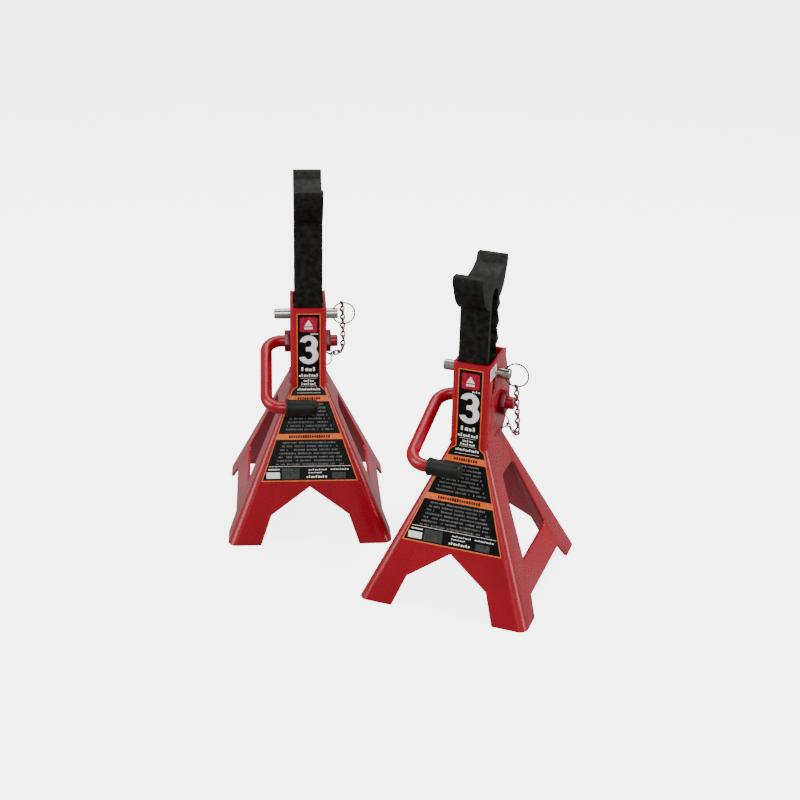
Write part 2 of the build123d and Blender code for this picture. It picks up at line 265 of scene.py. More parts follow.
redEnamel = makeEnamel("redEnamel", enamel["bright"], enamel["deep"])
darkRedEnamel = makeEnamel("darkRedEnamel", enamel["darkBright"], enamel["darkDeep"])
blackCasting = makeCasting()
zincSteel = makeMetal("zincSteel", (0.30, 0.29, 0.26), (0.55, 0.54, 0.49), 0.14, 0.28, (4, 60, 60), 40)
stripSteel = makeMetal("stripSteel", (0.18, 0.17, 0.16), (0.34, 0.33, 0.31), 0.3, 0.5, (1, 1, 1), 200)
ringSteel = makeMetal("ringSteel", (0.018, 0.018, 0.017), (0.085, 0.085, 0.082), 0.14, 0.28, (1, 1, 1), 500)
chainSteel = makeMetal("chainSteel", (0.16, 0.095, 0.080), (0.52, 0.36, 0.31), 0.26, 0.42, (1, 1, 1), 320)
darkPrimer = makePrimer()
gripRubber = makeRubber()
blackInk = makeInk("blackInk", (0.0012, 0.0012, 0.0014), (0.0028, 0.0028, 0.0030), 0.34, 0.14)
whiteInk = makeInk("whiteInk", (0.80, 0.77, 0.72), (0.92, 0.89, 0.84), 0.42)
greyInk = makeInk("greyInk", (0.085, 0.085, 0.085), (0.16, 0.155, 0.15), 0.42)
orangeInk = makeInk("orangeInk", (0.66, 0.115, 0.020), (0.80, 0.150, 0.030), 0.38)
crimsonInk = makeInk("crimsonInk", (0.30, 0.005, 0.022), (0.42, 0.009, 0.034), 0.38)
paperWhite = makeInk("paperWhite", (0.70, 0.69, 0.65), (0.84, 0.83, 0.79), 0.5)
panelInk = makeInk("panelInk", (0.020, 0.026, 0.022), (0.045, 0.052, 0.046), 0.42)
paperInk = makeInk("paperInk", (0.020, 0.026, 0.020), (0.06, 0.07, 0.055), 0.5)
print("stage: materials made")


# rounded copies of the pressed and cast parts
def roundedCopy(node, name, width, segments, material):
    # the same shape with its sharp edges broken, as paint and casting leave them
    mesh = nodes[node].data.copy()
    mesh.name = name
    form = bmesh.new()
    form.from_mesh(mesh)
    bmesh.ops.remove_doubles(form, verts=form.verts, dist=0.00001)
    bmesh.ops.dissolve_limit(form, angle_limit=radians(0.6), verts=form.verts, edges=form.edges)
    form.to_mesh(mesh)
    form.free()
    obj = newPiece(name, mesh, material)
    edge = obj.modifiers.new("edge", "BEVEL")
    edge.width = width
    edge.segments = segments
    edge.limit_method = "ANGLE"
    edge.angle_limit = radians(38)
    edge.use_clamp_overlap = True
    bakeDown(obj)
    obj.data.materials.clear()
    obj.data.materials.append(material)
    smoothByAngle(obj.data, 34)
    return obj


rounding = {"baseEdge": 0.55 * mm, "bossEdge": 0.7 * mm, "postEdge": 1.1 * mm}


def makePressings(side):
    base = f"{side}_base"
    frameCopy = roundedCopy(f"{side}_base_frame", f"{side}BaseFrame", rounding["baseEdge"], 2, redEnamel)
    settle(frameCopy, base, "red_enamel", f"{side}_base_frame")
    cover = roundedCopy(f"{side}_rear_cover", f"{side}RearCover", rounding["baseEdge"], 2, redEnamel)
    settle(cover, base, "red_enamel", f"{side}_rear_cover")
    bosses = roundedCopy(f"{side}_pivot_bosses", f"{side}PivotBosses", rounding["bossEdge"], 3, darkRedEnamel)
    settle(bosses, base, "dark_red_enamel", f"{side}_pivot_bosses")


def makePost(side):
    post = roundedCopy(f"{side}_ratchet_post", f"{side}RatchetPost", rounding["postEdge"], 3, blackCasting)
    settle(post, f"{side}_post", "black_casting", f"{side}_ratchet_post")


for side in sides:
    makePressings(side)
    makePost(side)
print("stage: pressings and posts rounded")


# flat printed shapes on the front label
label = {
    "frontY": -31.2,
    "bendZ": 164.0,
    "downY": -0.39968,
    "downZ": -0.91665,
    "halfX": 13.7,
    "shoulderX": 19.7,
    "shoulder": 5.0,
    "footX": 55.0,
    "footV": 107.6,
    "topV": 88.0,
    "ink": 0.12,
    "sink": 0.05,
}


def onLabel(u, v, lift):
    # u across the label, v up the column from the bend, and below it down the slope, in millimetres
    if v >= 0:
        return Vector((u, label["frontY"] - lift, label["bendZ"] + v)) * mm
    out = Vector((0, label["downZ"], -label["downY"]))
    start = Vector((u, label["frontY"] + 0.2, label["bendZ"]))
    return (start + Vector((0, label["downY"], label["downZ"])) * -v + out * (0.2 + lift)) * mm


def addPrism(form, outline, mapper, top, bottom):
    # a thin closed slab with this outline, given anticlockwise as seen from in front
    upper = [form.verts.new(mapper(u, v, top)) for u, v in outline]
    lower = [form.verts.new(mapper(u, v, bottom)) for u, v in outline]
    form.faces.new(upper)
    form.faces.new(lower[::-1])
    count = len(outline)
    for index in range(count):
        follow = (index + 1) % count
        form.faces.new((upper[follow], upper[index], lower[index], lower[follow]))


def addBand(form, outer, inner, mapper, top, bottom):
    # a thin closed frame between two outlines with the same number of corners
    rings = [[form.verts.new(mapper(u, v, lift)) for u, v in line] for line, lift in
             ((outer, top), (inner, top), (inner, bottom), (outer, bottom))]
    count = len(outer)
    for index in range(count):
        follow = (index + 1) % count
        for near, far in ((0, 1), (1, 2), (2, 3), (3, 0)):
            form.faces.new((rings[near][index], rings[near][follow], rings[far][follow], rings[far][index]))


def rectangle(u0, u1, v0, v1):
    return [(u0, v0), (u1, v0), (u1, v1), (u0, v1)]


def roundedRectangle(u0, u1, v0, v1, radius):
    corners = []
    for centreU, centreV, first in (
        (u1 - radius, v0 + radius, -90), (u1 - radius, v1 - radius, 0),
        (u0 + radius, v1 - radius, 90), (u0 + radius, v0 + radius, 180),
    ):
        for step in range(5):
            angle = radians(first + step * 22.5)
            corners.append((centreU + radius * cos(angle), centreV + radius * sin(angle)))
    return corners


def arc(centreV, radiusU, radiusV, first, last, steps=16):
    angles = [radians(first + (last - first) * step / steps) for step in range(steps + 1)]
    return [(radiusU * cos(angle), centreV + radiusV * sin(angle)) for angle in angles]


numeral = {
    "low": 27.0,
    "high": 61.6,
    "halfWidth": 10.9,
    "stroke": 6.6,
    "upperShare": 0.475,
    "stub": -3.0,
}


def numeralThree():
    low, high, stroke = numeral["low"], numeral["high"], numeral["stroke"]
    tall = high - low
    upperRadius = (tall * numeral["upperShare"] + stroke * 0.5) / 2
    lowerRadius = (tall * (1 - numeral["upperShare"]) + stroke * 0.5) / 2
    upperV, lowerV = high - upperRadius, low + lowerRadius
    wideUpper, wideLower = numeral["halfWidth"] * 0.93, numeral["halfWidth"]
    outline = arc(upperV, wideUpper, upperRadius, 166, -34)
    outline += arc(lowerV, wideLower, lowerRadius, 38, -166)
    outline += arc(lowerV, wideLower - stroke, lowerRadius - stroke * 0.88, -160, 90)
    outline += [(numeral["stub"], lowerV + lowerRadius - stroke * 0.88)]
    outline += [(numeral["stub"], upperV - upperRadius + stroke * 0.88)]
    outline += arc(upperV, wideUpper - stroke, upperRadius - stroke * 0.88, -90, 160)
    return outline[::-1]


def labelHalf(v):
    # half width of the label at this height
    if v >= 0:
        return label["halfX"]
    if v > -label["shoulder"]:
        return label["halfX"] + (label["shoulderX"] - label["halfX"]) * -v / label["shoulder"]
    share = (-v - label["shoulder"]) / (label["footV"] - label["shoulder"])
    return label["shoulderX"] + (label["footX"] - label["shoulderX"]) * share


layout = {
    "borderGap": 0.25,
    "borderWidth": 1.25,
    # upper and lower edge of each orange bar
    "bars": [(-10.6, -17.2), (-53.6, -60.2)],
    "emblemLow": 65.6,
    "emblemHigh": 83.2,
    "emblemHalf": 9.6,
    "emblemCorner": 2.2,
    "emblemLift": 0.1,
    # the triangle and the bar under it, as heights from the emblem's middle
    "liftMarkHalf": 4.6,
    "triangle": (-1.6, 5.6),
    "bar": (-5.4, -3.2),
    # gap at each end of a mark, then the length and height of the three kinds of mark
    "markGap": 0.1,
    "markKinds": ((1.0, 0.72), (0.62, 1.0), (0.86, 0.6)),
    # middle of the row, its height, its start and end, number of marks
    "words": [
        (63.5, 2.0, (2.0, 10.6), 4),
        (21.0, 4.8, (-8.6, 8.6), 4),
        (13.4, 3.5, (-11.2, 11.2), 8),
        (6.9, 2.6, (-5.8, 5.8), 5),
        (3.0, 2.6, (-8.4, 8.4), 7),
        (-3.4, 2.5, (-12.8, 12.8), 12),
    ],
    "footWords": [
        (-94.2, 1.6, (-1.6, 20.0), 9),
        (-97.6, 1.5, (-1.6, 14.0), 7),
        (-102.0, 2.7, (-3.8, 19.6), 9),
        (-94.0, 1.7, (23.4, 44.0), 10),
    ],
    # middle, half length and thickness of each thin rule
    "rules": [(9.8, 9.0, 0.3), (0.2, 9.4, 0.25), (-7.6, 13.4, 0.3), (-90.3, 46.0, 0.4)],
    # start, end, upper and lower edge
    "whiteBlocks": [(-48.6, -33.6, -96.8, -103.8), (-46.6, -33.6, -93.0, -94.2)],
    "panels": [(-31.4, -11.6, -92.4, -104.6), (25.0, 40.6, -97.6, -104.4)],
}


def inkPiece(name, side, material, draw):
    form = bmesh.new()
    draw(form)
    bmesh.ops.recalc_face_normals(form, faces=form.faces)
    mesh = bpy.data.meshes.new(name)
    form.to_mesh(mesh)
    form.free()
    mesh.transform(places[side])
    return settle(newPiece(name, mesh, material), f"{side}_base", "front_print")


def drawMarks(form, middle, tall, span, count, first):
    # a row of plain blocks of uneven height that stands where a word would
    top, bottom = label["ink"], -label["sink"]
    start, end = span
    pitch = (end - start) / count
    low = middle - tall / 2
    for number in range(count):
        left = start + (number + layout["markGap"]) * pitch
        right = start + (number + 1 - layout["markGap"]) * pitch
        share, rise = layout["markKinds"][(number * 2 + first) % 3]
        block = rectangle(left, left + (right - left) * share, low, low + tall * rise)
        addPrism(form, block, onLabel, top, bottom)


def drawOrange(form):
    top, bottom = label["ink"], -label["sink"]

    def outlineAt(inset):
        heights = [-label["footV"] + inset, -label["shoulder"], 0.0, label["topV"] - inset]
        right = [(labelHalf(v) - inset, v) for v in heights]
        return right + [(-u, v) for u, v in reversed(right)]

    edge = layout["borderGap"] + layout["borderWidth"]
    addBand(form, outlineAt(layout["borderGap"]), outlineAt(edge), onLabel, top, bottom)
    for upperV, lowerV in layout["bars"]:
        outline = [(-labelHalf(lowerV) + edge, lowerV), (labelHalf(lowerV) - edge, lowerV)]
        outline += [(labelHalf(upperV) - edge, upperV), (-labelHalf(upperV) + edge, upperV)]
        addPrism(form, outline, onLabel, top, bottom)


def drawWhite(form):
    top, bottom = label["ink"], -label["sink"]
    addPrism(form, numeralThree(), onLabel, top, bottom)
    for rows in (layout["words"], layout["footWords"]):
        for row, (middle, tall, span, count) in enumerate(rows):
            drawMarks(form, middle, tall, span, count, row)
    for v, half, thick in layout["rules"]:
        addPrism(form, rectangle(-half, half, v - thick / 2, v + thick / 2), onLabel, top, bottom)
    # the lifting mark: a plain triangle over a bar, standing on the coloured block
    middle = (layout["emblemLow"] + layout["emblemHigh"]) / 2
    raised = top + layout["emblemLift"]
    half = layout["liftMarkHalf"]
    foot, tip = (middle + height for height in layout["triangle"])
    low, high = (middle + height for height in layout["bar"])
    addPrism(form, [(-half, foot), (half, foot), (0, tip)], onLabel, raised, bottom)
    addPrism(form, rectangle(-half, half, low, high), onLabel, raised, bottom)
    for start, end, upperV, lowerV in layout["whiteBlocks"]:
        addPrism(form, rectangle(start, end, lowerV, upperV), onLabel, top, bottom)


def drawCrimson(form):
    half, corner = layout["emblemHalf"], layout["emblemCorner"]
    block = roundedRectangle(-half, half, layout["emblemLow"], layout["emblemHigh"], corner)
    addPrism(form, block, onLabel, label["ink"], -label["sink"])


def drawPanels(form):
    for start, end, upperV, lowerV in layout["panels"]:
        addPrism(form, rectangle(start, end, lowerV, upperV), onLabel, label["ink"], -label["sink"])


for side in sides:
    inkPiece(f"{side}LabelBorder", side, orangeInk, drawOrange)
    inkPiece(f"{side}LabelWhite", side, whiteInk, drawWhite)
    inkPiece(f"{side}LabelEmblem", side, crimsonInk, drawCrimson)
    inkPiece(f"{side}LabelPanels", side, panelInk, drawPanels)
print("stage: label shapes printed")


# geometry node groups
def startGroup(name, inputs):
    group = bpy.data.node_groups.new(name, "GeometryNodeTree")
    group.interface.new_socket("Geometry", in_out="INPUT", socket_type="NodeSocketGeometry")
    group.interface.new_socket("Geometry", in_out="OUTPUT", socket_type="NodeSocketGeometry")
    for socketName, kind, value in inputs:
        socket = group.interface.new_socket(socketName, in_out="INPUT", socket_type=kind)
        if value is not None:
            socket.default_value = value
    return group, group.nodes.new("NodeGroupInput"), group.nodes.new("NodeGroupOutput")


def attach(obj, group, values):
    # values are set by socket identifier before anything is evaluated
    modifier = obj.modifiers.new("build", "NODES")
    modifier.node_group = group
    for item in group.interface.items_tree:
        if item.in_out == "INPUT" and item.name in values:
            modifier[item.identifier] = values[item.name]
    return modifier


def mathNode(group, operation, first, second=None):
    node = group.nodes.new("ShaderNodeMath")
    node.operation = operation
    for index, value in enumerate((first, second)):
        if value is None:
            continue
        if isinstance(value, (int, float)):
            node.inputs[index].default_value = value
        else:
            group.links.new(value, node.inputs[index])
    return node.outputs[0]


def liveOutput(node):
    # a random value node has one output in use, by its data type
    return next(socket for socket in node.outputs if socket.enabled)


def finishGroup(group, geometry, source, material, result):
    realize = group.nodes.new("GeometryNodeRealizeInstances")
    dress = group.nodes.new("GeometryNodeSetMaterial")
    group.links.new(geometry, realize.inputs[0])
    group.links.new(realize.outputs[0], dress.inputs["Geometry"])
    group.links.new(source.outputs[material], dress.inputs["Material"])
    group.links.new(dress.outputs[0], result.inputs[0])


def makePrintGroup():
    # rows of small marks of uneven width with gaps between the words
    group, source, result = startGroup("smallPrint", [
        ("Mark Width", "NodeSocketFloat", 0.001),
        ("Mark Height", "NodeSocketFloat", 0.002),
        ("Thickness", "NodeSocketFloat", 0.0002),
        ("Gaps", "NodeSocketFloat", 0.2),
        ("Seed", "NodeSocketInt", 1),
        ("Ink", "NodeSocketMaterial", None),
    ])
    size = group.nodes.new("ShaderNodeCombineXYZ")
    group.links.new(source.outputs["Mark Width"], size.inputs[0])
    group.links.new(source.outputs["Mark Height"], size.inputs[1])
    group.links.new(source.outputs["Thickness"], size.inputs[2])
    cube = group.nodes.new("GeometryNodeMeshCube")
    group.links.new(size.outputs[0], cube.inputs["Size"])
    chance = group.nodes.new("FunctionNodeRandomValue")
    chance.data_type = "FLOAT"
    group.links.new(source.outputs["Seed"], chance.inputs["Seed"])
    keep = group.nodes.new("FunctionNodeCompare")
    keep.data_type = "FLOAT"
    keep.operation = "GREATER_THAN"
    group.links.new(chance.outputs["Value"], keep.inputs[0])
    group.links.new(source.outputs["Gaps"], keep.inputs[1])
    stretch = group.nodes.new("FunctionNodeRandomValue")
    stretch.data_type = "FLOAT_VECTOR"
    stretch.inputs["Min"].default_value = (0.75, 0.62, 1.0)
    stretch.inputs["Max"].default_value = (1.15, 1.0, 1.0)
    seedOn = mathNode(group, "ADD", source.outputs["Seed"], 7)
    group.links.new(seedOn, stretch.inputs["Seed"])
    copies = group.nodes.new("GeometryNodeInstanceOnPoints")
    group.links.new(source.outputs["Geometry"], copies.inputs["Points"])
    group.links.new(keep.outputs[0], copies.inputs["Selection"])
    group.links.new(cube.outputs["Mesh"], copies.inputs["Instance"])
    group.links.new(liveOutput(stretch), copies.inputs["Scale"])
    finishGroup(group, copies.outputs["Instances"], source, "Ink", result)
    return group


def makeChainGroup():
    # oval links with a slight twist, each turned a quarter against the last
    group, source, result = startGroup("chainLinks", [
        ("Count", "NodeSocketInt", 13),
        ("Length", "NodeSocketFloat", 0.011),
        ("Width", "NodeSocketFloat", 0.007),
        ("Wire", "NodeSocketFloat", 0.0009),
        ("Twist", "NodeSocketFloat", 0.6),
        ("Turn", "NodeSocketFloat", 1.5708),
        ("Metal", "NodeSocketMaterial", None),
    ])
    curve = group.nodes.new("GeometryNodeMeshToCurve")
    group.links.new(source.outputs["Geometry"], curve.inputs["Mesh"])
    spread = group.nodes.new("GeometryNodeResampleCurve")
    group.links.new(curve.outputs[0], spread.inputs["Curve"])
    group.links.new(source.outputs["Count"], spread.inputs["Count"])
    tangent = group.nodes.new("GeometryNodeInputTangent")
    align = group.nodes.new("FunctionNodeAlignRotationToVector")
    align.axis = "X"
    group.links.new(tangent.outputs[0], align.inputs["Vector"])
    number = group.nodes.new("GeometryNodeInputIndex")
    angle = mathNode(group, "MULTIPLY", number.outputs[0], source.outputs["Turn"])
    roll = group.nodes.new("FunctionNodeAxisAngleToRotation")
    roll.inputs["Axis"].default_value = (1, 0, 0)
    group.links.new(angle, roll.inputs["Angle"])
    turned = group.nodes.new("FunctionNodeRotateRotation")
    turned.rotation_space = "LOCAL"
    group.links.new(align.outputs[0], turned.inputs["Rotation"])
    group.links.new(roll.outputs[0], turned.inputs["Rotate By"])
    # one link
    ring = group.nodes.new("GeometryNodeCurvePrimitiveCircle")
    ring.inputs["Resolution"].default_value = 28
    ring.inputs["Radius"].default_value = 1.0
    section = group.nodes.new("GeometryNodeCurvePrimitiveCircle")
    section.inputs["Resolution"].default_value = 10
    group.links.new(source.outputs["Wire"], section.inputs["Radius"])
    outerLength = mathNode(group, "MULTIPLY", source.outputs["Length"], 0.5)
    outerWidth = mathNode(group, "MULTIPLY", source.outputs["Width"], 0.5)
    halfLength = mathNode(group, "SUBTRACT", outerLength, source.outputs["Wire"])
    halfWidth = mathNode(group, "SUBTRACT", outerWidth, source.outputs["Wire"])
    place = group.nodes.new("GeometryNodeInputPosition")
    parts = group.nodes.new("ShaderNodeSeparateXYZ")
    group.links.new(place.outputs[0], parts.inputs[0])
    twist = mathNode(group, "MULTIPLY", parts.outputs[0], source.outputs["Twist"])
    across = mathNode(group, "MULTIPLY", parts.outputs[1], halfWidth)
    moved = group.nodes.new("ShaderNodeCombineXYZ")
    group.links.new(mathNode(group, "MULTIPLY", parts.outputs[0], halfLength), moved.inputs[0])
    group.links.new(mathNode(group, "MULTIPLY", across, mathNode(group, "COSINE", twist)), moved.inputs[1])
    group.links.new(mathNode(group, "MULTIPLY", across, mathNode(group, "SINE", twist)), moved.inputs[2])
    shape = group.nodes.new("GeometryNodeSetPosition")
    group.links.new(ring.outputs["Curve"], shape.inputs["Geometry"])
    group.links.new(moved.outputs[0], shape.inputs["Position"])
    wire = group.nodes.new("GeometryNodeCurveToMesh")
    group.links.new(shape.outputs[0], wire.inputs["Curve"])
    group.links.new(section.outputs["Curve"], wire.inputs["Profile Curve"])
    copies = group.nodes.new("GeometryNodeInstanceOnPoints")
    group.links.new(spread.outputs[0], copies.inputs["Points"])
    group.links.new(wire.outputs[0], copies.inputs["Instance"])
    group.links.new(turned.outputs[0], copies.inputs["Rotation"])
    finishGroup(group, copies.outputs["Instances"], source, "Metal", result)
    return group


def makeWireGroup():
    # round wire with closed ends along a line of points
    group, source, result = startGroup("roundWire", [
        ("Radius", "NodeSocketFloat", 0.0005),
        ("Metal", "NodeSocketMaterial", None),
    ])
    curve = group.nodes.new("GeometryNodeMeshToCurve")
    group.links.new(source.outputs["Geometry"], curve.inputs["Mesh"])
    thin = group.nodes.new("GeometryNodeInputNamedAttribute")
    thin.data_type = "FLOAT"
    thin.inputs["Name"].default_value = "thickness"
    sized = group.nodes.new("GeometryNodeSetCurveRadius")
    group.links.new(curve.outputs[0], sized.inputs["Curve"])
    group.links.new(thin.outputs["Attribute"], sized.inputs["Radius"])
    section = group.nodes.new("GeometryNodeCurvePrimitiveCircle")
    section.inputs["Resolution"].default_value = 10
    group.links.new(source.outputs["Radius"], section.inputs["Radius"])
    wire = group.nodes.new("GeometryNodeCurveToMesh")
    wire.inputs["Fill Caps"].default_value = True
    group.links.new(sized.outputs[0], wire.inputs["Curve"])
    group.links.new(section.outputs["Curve"], wire.inputs["Profile Curve"])
    finishGroup(group, wire.outputs[0], source, "Metal", result)
    return group


def makeBeadGroup():
    # overlapping ripples of a weld bead along a line
    group, source, result = startGroup("weldRipples", [
        ("Count", "NodeSocketInt", 9),
        ("Radius", "NodeSocketFloat", 0.002),
        ("Seed", "NodeSocketInt", 1),
        ("Paint", "NodeSocketMaterial", None),
    ])
    curve = group.nodes.new("GeometryNodeMeshToCurve")
    group.links.new(source.outputs["Geometry"], curve.inputs["Mesh"])
    spread = group.nodes.new("GeometryNodeResampleCurve")
    group.links.new(curve.outputs[0], spread.inputs["Curve"])
    group.links.new(source.outputs["Count"], spread.inputs["Count"])
    drop = group.nodes.new("GeometryNodeMeshUVSphere")
    drop.inputs["Segments"].default_value = 18
    drop.inputs["Rings"].default_value = 10
    group.links.new(source.outputs["Radius"], drop.inputs["Radius"])
    uneven = group.nodes.new("FunctionNodeRandomValue")
    uneven.data_type = "FLOAT_VECTOR"
    uneven.inputs["Min"].default_value = (0.85, 0.75, 0.85)
    uneven.inputs["Max"].default_value = (1.0, 1.0, 1.0)
    group.links.new(source.outputs["Seed"], uneven.inputs["Seed"])
    copies = group.nodes.new("GeometryNodeInstanceOnPoints")
    group.links.new(spread.outputs[0], copies.inputs["Points"])
    group.links.new(drop.outputs["Mesh"], copies.inputs["Instance"])
    group.links.new(liveOutput(uneven), copies.inputs["Scale"])
    finishGroup(group, copies.outputs["Instances"], source, "Paint", result)
    return group


def lineObject(name, points):
    # a chain of vertices and edges for a node group to follow
    mesh = bpy.data.meshes.new(name)
    mesh.from_pydata([tuple(point) for point in points], [(i, i + 1) for i in range(len(points) - 1)], [])
    obj = bpy.data.objects.new(name, mesh)
    bpy.context.scene.collection.objects.link(obj)
    return obj


def pointObject(name, points):
    mesh = bpy.data.meshes.new(name)
    mesh.from_pydata([tuple(point) for point in points], [], [])
    obj = bpy.data.objects.new(name, mesh)
    bpy.context.scene.collection.objects.link(obj)
    return obj


def growPlain(obj, group, values, degrees=40):
    attach(obj, group, values)
    bakeDown(obj)
    smoothByAngle(obj.data, degrees)
    return obj


printGroup = makePrintGroup()
chainGroup = makeChainGroup()
wireGroup = makeWireGroup()
beadGroup = makeBeadGroup()


smallPrint = {
    "pitch": 1.75,
    "rowPitch": 4.05,
    "blocks": [(-20.4, -51.6, 7.5), (-63.6, -88.0, 9.5)],
    "markWidth": 1.25,
    "markHeight": 2.1,
    "lift": 0.04,
    "gaps": 0.17,
    "seed": 11,
    "barPitch": 2.6,
    "barShare": 0.625,
    "barMarkWidth": 1.9,
    "barMarkHeight": 3.6,
    "barLift": 0.14,
    "barSeed": 14,
    "thickness": 0.14,
}


def slopeFrame(side):
    # the slope's own frame: x across the label, y up the slope, z outward, at the bend line
    up = Vector((0, -label["downY"], -label["downZ"]))
    out = Vector((0, label["downZ"], -label["downY"]))
    start = Vector((0, label["frontY"] + 0.2, label["bendZ"])) + out * 0.2
    turn = Matrix((Vector((1, 0, 0)), up, out)).transposed().to_4x4()
    return places[side] @ Matrix.Translation(start * mm) @ turn


def makeSmallPrint(side):
    points = []
    for block, (high, low, margin) in enumerate(smallPrint["blocks"]):
        rows = int((high - low) / smallPrint["rowPitch"]) + 1
        for row in range(rows):
            v = high - row * smallPrint["rowPitch"]
            half = labelHalf(v) - margin
            count = int(2 * half / smallPrint["pitch"])
            shift = 0.4 * smallPrint["pitch"] * ((row * 37 + block * 11) % 5 - 2) / 2
            for step in range(count):
                u = (step - (count - 1) / 2) * smallPrint["pitch"] + shift
                points.append((u * mm, v * mm, smallPrint["lift"] * mm))
    rowsOf = pointObject(f"{side}SmallPrint", points)
    growPlain(rowsOf, printGroup, {
        "Mark Width": smallPrint["markWidth"] * mm,
        "Mark Height": smallPrint["markHeight"] * mm,
        "Thickness": smallPrint["thickness"] * mm,
        "Gaps": smallPrint["gaps"],
        "Seed": smallPrint["seed"],
        "Ink": greyInk,
    })
    rowsOf.data.transform(slopeFrame(side))
    settle(rowsOf, f"{side}_base", "front_print")
    # dark marks on the two orange bars
    points = []
    for upperV, lowerV in layout["bars"]:
        middle = (upperV + lowerV) / 2
        count = int(2 * labelHalf(middle) * smallPrint["barShare"] / smallPrint["barPitch"])
        for step in range(count):
            u = (step - (count - 1) / 2) * smallPrint["barPitch"]
            points.append((u * mm, middle * mm, smallPrint["barLift"] * mm))
    heads = pointObject(f"{side}BarPrint", points)
    growPlain(heads, printGroup, {
        "Mark Width": smallPrint["barMarkWidth"] * mm,
        "Mark Height": smallPrint["barMarkHeight"] * mm,
        "Thickness": smallPrint["thickness"] * mm,
        "Gaps": 0.0,
        "Seed": smallPrint["barSeed"],
        "Ink": blackInk,
    })
    heads.data.transform(slopeFrame(side))
    settle(heads, f"{side}_base", "front_print")


for side in sides:
    makeSmallPrint(side)
print("stage: small print set")


# side label
sideLabel = {
    "frontY": -29.5,
    "backY": -8.5,
    "high": 253.0,
    "face": 20.2,
    "rows": 5,
    "firstRow": 2.6,
    "rowPitch": 1.9,
    # the first row starts further in, and the rows from the third on end early
    "indent": 2.0,
    "firstIndent": 5.0,
    "endGap": 2.4,
    "earlyEnd": 7.2,
    "pitch": 1.45,
    "markWidth": 1.15,
    "markHeight": 1.1,
    "lift": 0.04,
    "thickness": 0.14,
    "gaps": 0.15,
    "seed": 5,
    # the small square block: front, back, lower and upper edge
    "block": (-14.6, -10.2, 242.2, 246.4),
    "ink": 0.12,
    "sink": 0.05,
}


def makeSidePrint(side):
    points = []
    for row in range(sideLabel["rows"]):
        z = sideLabel["high"] - sideLabel["firstRow"] - row * sideLabel["rowPitch"]
        start = sideLabel["frontY"] + sideLabel["indent" if row else "firstIndent"]
        end = sideLabel["backY"] - sideLabel["earlyEnd" if row > 1 else "endGap"]
        count = int((end - start) / sideLabel["pitch"])
        for step in range(count):
            points.append(((start + step * sideLabel["pitch"]) * mm, z * mm, sideLabel["lift"] * mm))
    marks = pointObject(f"{side}SidePrint", points)
    growPlain(marks, printGroup, {
        "Mark Width": sideLabel["markWidth"] * mm,
        "Mark Height": sideLabel["markHeight"] * mm,
        "Thickness": sideLabel["thickness"] * mm,
        "Gaps": sideLabel["gaps"],
        "Seed": sideLabel["seed"],
        "Ink": paperInk,
    })
    # x runs back along the wall, y up and z out of it
    turn = Matrix((Vector((0, 1, 0)), Vector((0, 0, 1)), Vector((1, 0, 0)))).transposed().to_4x4()
    marks.data.transform(places[side] @ Matrix.Translation((sideLabel["face"] * mm, 0, 0)) @ turn)
    settle(marks, f"{side}_base", "side_print")
    form = bmesh.new()

    def onWall(u, v, lift):
        return Vector((sideLabel["face"] + lift, u, v)) * mm

    addPrism(form, rectangle(*sideLabel["block"]), onWall, sideLabel["ink"], -sideLabel["sink"])
    bmesh.ops.recalc_face_normals(form, faces=form.faces)
    mesh = bpy.data.meshes.new(f"{side}SideBlock")
    form.to_mesh(mesh)
    form.free()
    mesh.transform(places[side])
    settle(newPiece(f"{side}SideBlock", mesh, paperInk), f"{side}_base", "side_print")


for side in sides:
    makeSidePrint(side)
print("stage: side labels printed")


# chain, its rings and the pin's split ring
chain = {
    "left": [(38.0, 0.0, 250.2), (39.2, 8.0, 226.0), (39.2, 16.0, 190.0), (27.7, 21.3, 182.0)],
    "right": [(40.0, -0.1, 225.2), (39.6, 15.0, 178.0), (37.0, 21.0, 163.0), (29.3, 22.0, 170.0)],
    "count": {"left": 14, "right": 13},
    "length": 10.0,
    "width": 6.8,
    "wire": 0.95,
    "twist": 0.75,
}


def smoothRoute(points, steps=12):
    # a rounded line through the given points
    ends = [points[0] * 2 - points[1], *points, points[-1] * 2 - points[-2]]
    route = []
    for index in range(1, len(ends) - 2):
        before, start, end, after = ends[index - 1:index + 3]
        for step in range(steps):
            t = step / steps
            near = start * 2 + (end - before) * t
            far = (before * 2 - start * 5 + end * 4 - after) * t * t
            last = (start * 3 - before - end * 3 + after) * t * t * t
            route.append((near + far + last) / 2)
    return [*route, points[-1]]


def makeChain(side):
    points = [places[side] @ (Vector(point) * mm) for point in chain[side]]
    links = lineObject(f"{side}Chain", smoothRoute(points))
    growPlain(links, chainGroup, {
        "Count": chain["count"][side],
        "Length": chain["length"] * mm,
        "Width": chain["width"] * mm,
        "Wire": chain["wire"] * mm,
        "Twist": chain["twist"],
        "Metal": chainSteel,
    }, 60)
    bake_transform(links)
    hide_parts(f"{side}_chain")


ringShape = {
    "x": 40.0,
    "y": -1.0,
    "z": 240.0,
    "radius": 12.6,
    "wire": 0.85,
    "turns": 1.1,
    "start": 162.0,
    "part": 0.44,
    "steps": 110,
}


